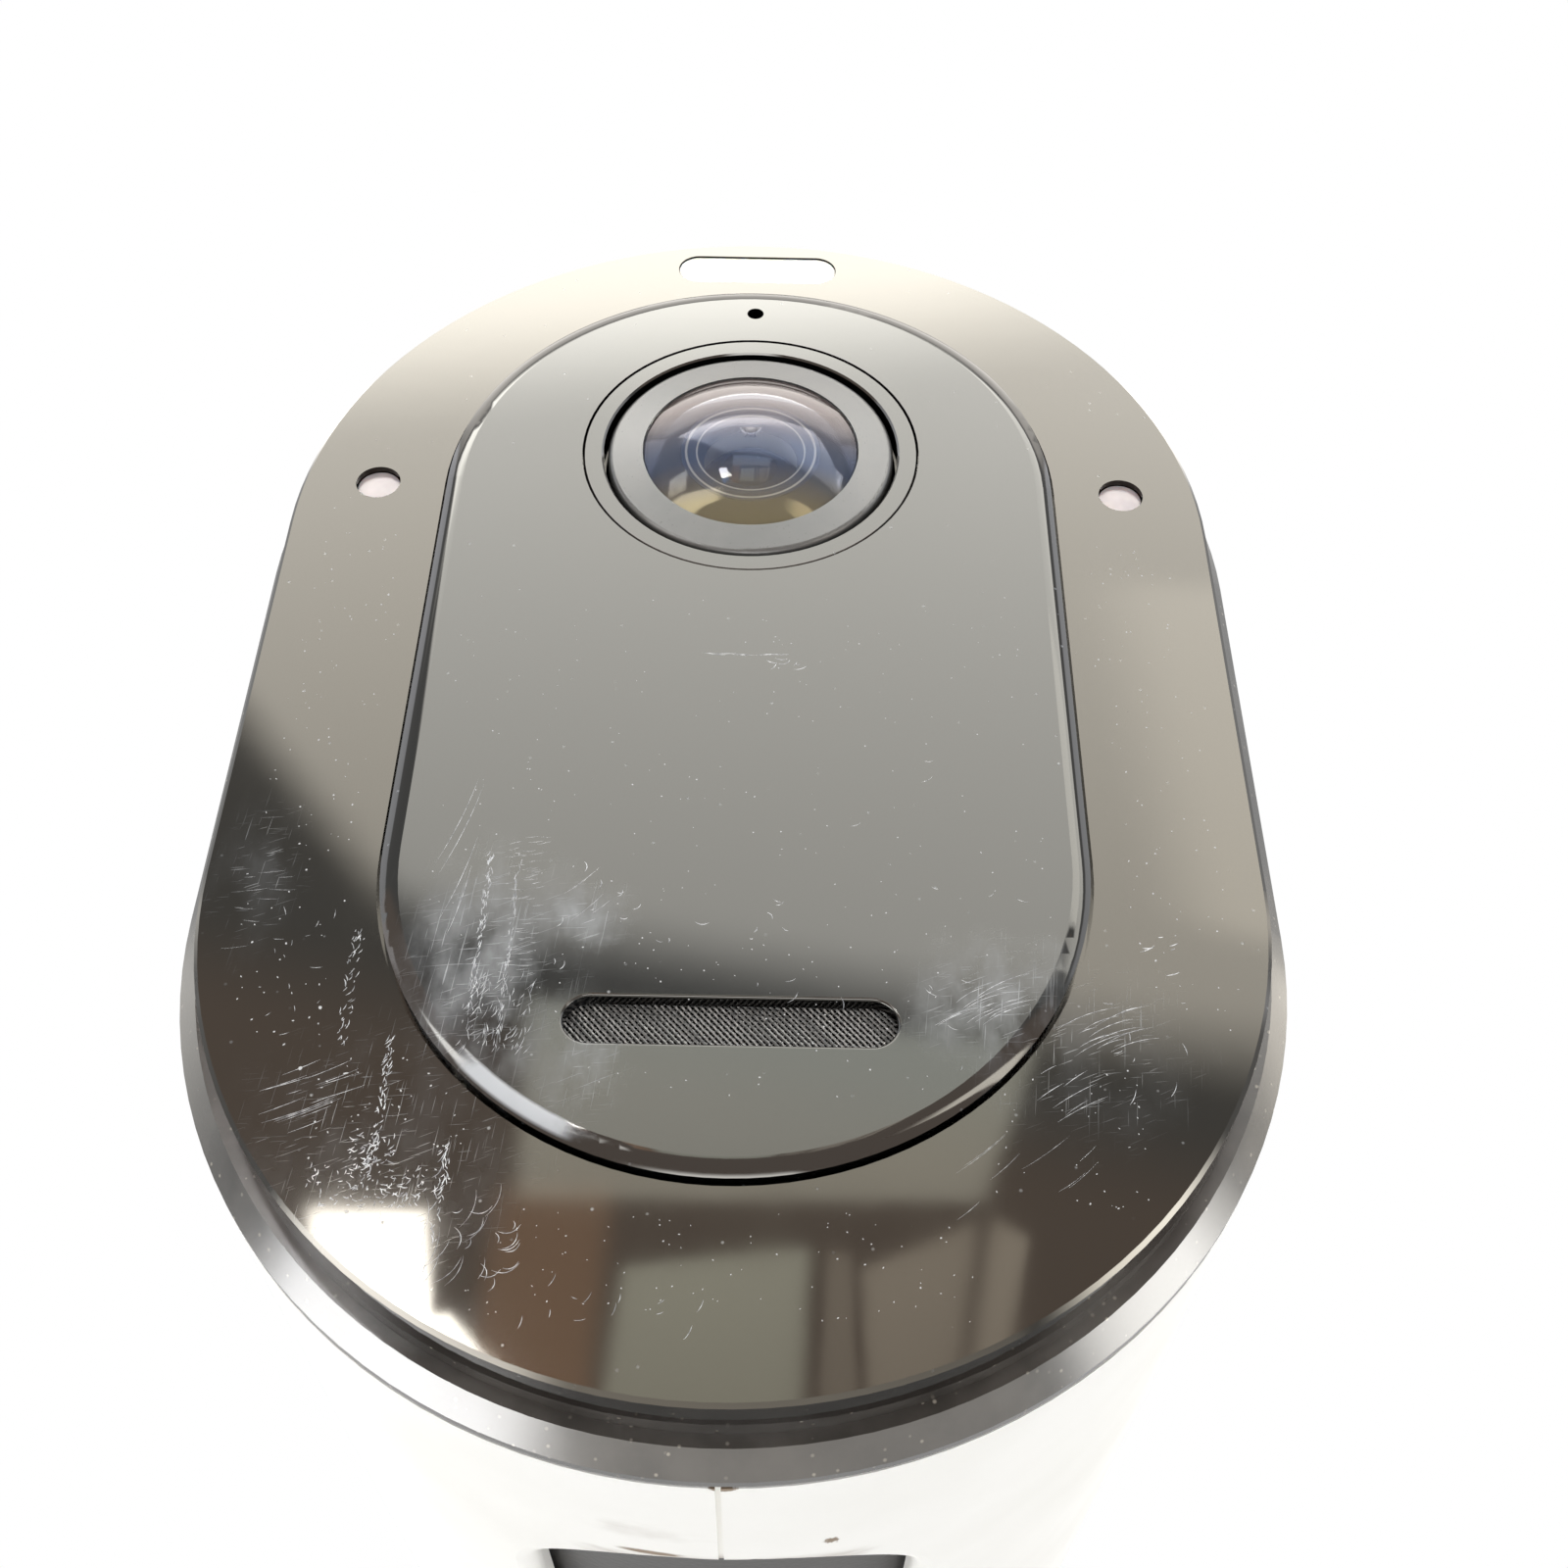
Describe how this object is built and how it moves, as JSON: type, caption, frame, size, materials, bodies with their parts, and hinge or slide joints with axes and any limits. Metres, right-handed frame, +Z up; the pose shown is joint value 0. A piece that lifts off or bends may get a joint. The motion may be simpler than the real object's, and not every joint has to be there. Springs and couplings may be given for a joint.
{
  "type": "wireless security camera",
  "caption": "Battery security camera: white stadium housing that slips off a black-faced core with lens, spotlight, speaker slot, filter changer and removable battery.",
  "frame": {"origin": "mouth of the threaded mounting hole, at the deepest point of the hollow in the back", "axes": "-Y is where the camera looks, +Y points out of the back along the mounting screw, +Z is up, +X is to the right seen from the front"},
  "size_m": [0.0544, 0.089, 0.0784],
  "materials": {
    "housing_white": "fine moulded matt",
    "bezel_black": "satin",
    "face_black": "polished",
    "lens_grey": "satin anodised",
    "lens_black": "black anodised",
    "lens_bright": "turned",
    "coated_glass": "coated",
    "clear_glass": "polished",
    "blue_glass": "polished",
    "window_white": "diffusing",
    "window_pink": "diffusing",
    "seal_rubber": "matt",
    "mesh_black": "woven, black",
    "tray_black": "fine moulded matt",
    "nylon_black": "satin",
    "board_green": "solder mask",
    "chip_black": "moulded",
    "led_yellow": "phosphor",
    "led_clear": "moulded",
    "steel": "rolled",
    "tin_steel": "tinned",
    "spring_steel": "rolled",
    "screw_black": "blackened",
    "aluminium": "milled",
    "brass": "turned",
    "gold": "gold plated",
    "copper": "enamelled wire",
    "magnet_nickel": "nickel plated",
    "polythene": "translucent",
    "cone_black": "pressed film",
    "flex_amber": "polyimide film",
    "button_grey": "satin",
    "button_white": "satin",
    "battery_grey": "fine moulded matt",
    "cell_wrap": "shrink film"
  },
  "bodies": {
    "housing": {"housing": "housing_white", "mount_insert": "brass", "steel_plate": "steel", "latch_spring": "spring_steel", "latch_screw": "screw_black"},
    "release_button": {"release_button": "button_white"},
    "sync_button": {"sync_button": "button_grey"},
    "filter_shuttle": {"filter_shuttle": "nylon_black", "infrared_cut_glass": "blue_glass", "clear_glass": "clear_glass"},
    "battery": {"battery_case": "battery_grey", "battery_cells": "cell_wrap", "battery_terminals": "gold"},
    "core": {"front_bezel": "bezel_black", "rim_seal": "seal_rubber", "face_plate": "face_black", "center_panel": "face_black", "spotlight_window": "window_white", "side_windows": "window_pink", "lens_trim_ring": "face_black", "lens_bezel": "lens_grey", "cover_glass": "coated_glass", "lens_barrel": "lens_black", "lens_retainer": "lens_bright", "inner_lens": "coated_glass", "rear_lens": "clear_glass", "lens_holder": "nylon_black", "holder_screws": "screw_black", "filter_housing": "nylon_black", "filter_coil": "copper", "image_sensor": "chip_black", "sensor_board": "board_green", "flex_cable": "flex_amber", "top_board": "board_green", "spotlight_leds": "led_yellow", "microphone": "tin_steel", "side_boards": "board_green", "infrared_leds": "led_clear", "motion_lens": "polythene", "motion_sensor": "tin_steel", "motion_board": "board_green", "speaker_mesh": "mesh_black", "speaker_frame": "steel", "speaker_cone": "cone_black", "speaker_magnet": "magnet_nickel", "main_board": "board_green", "processor_shield": "tin_steel", "heat_spreader": "aluminium", "radio_module": "tin_steel", "antennas": "flex_amber", "core_screws": "screw_black", "core_tray": "tray_black", "port_plate": "tray_black", "charge_contacts": "gold", "port_magnets": "magnet_nickel", "port_board": "board_green", "sync_switch": "chip_black", "battery_contacts": "gold"}
  },
  "joints": [
    {"name": "core_slide", "type": "slide", "parent": "housing", "child": "core", "axis": [0, -1, 0], "range_m": [0, 0.115], "deforming": ["latch_spring"]},
    {"name": "battery_slide", "type": "slide", "parent": "core", "child": "battery", "axis": [0, 1, 0], "range_m": [0, 0.046], "deforming": ["latch_spring"]},
    {"name": "release_button_press", "type": "slide", "parent": "housing", "child": "release_button", "axis": [0, 0, 1], "range_m": [0, 0.001], "stiffness_N_per_m": 800, "springref_m": -0.002, "deforming": ["latch_spring"]},
    {"name": "sync_button_press", "type": "slide", "parent": "core", "child": "sync_button", "axis": [0, 0, 1], "range_m": [0, 0.0006], "stiffness_N_per_m": 1500, "springref_m": -0.001},
    {"name": "filter_slide", "type": "slide", "parent": "core", "child": "filter_shuttle", "axis": [-1, 0, 0], "range_m": [0, 0.0062]}
  ],
  "couplings": [
    {"joint": "battery_slide", "follows": "core_slide", "ratio": 0.4}
  ]
}
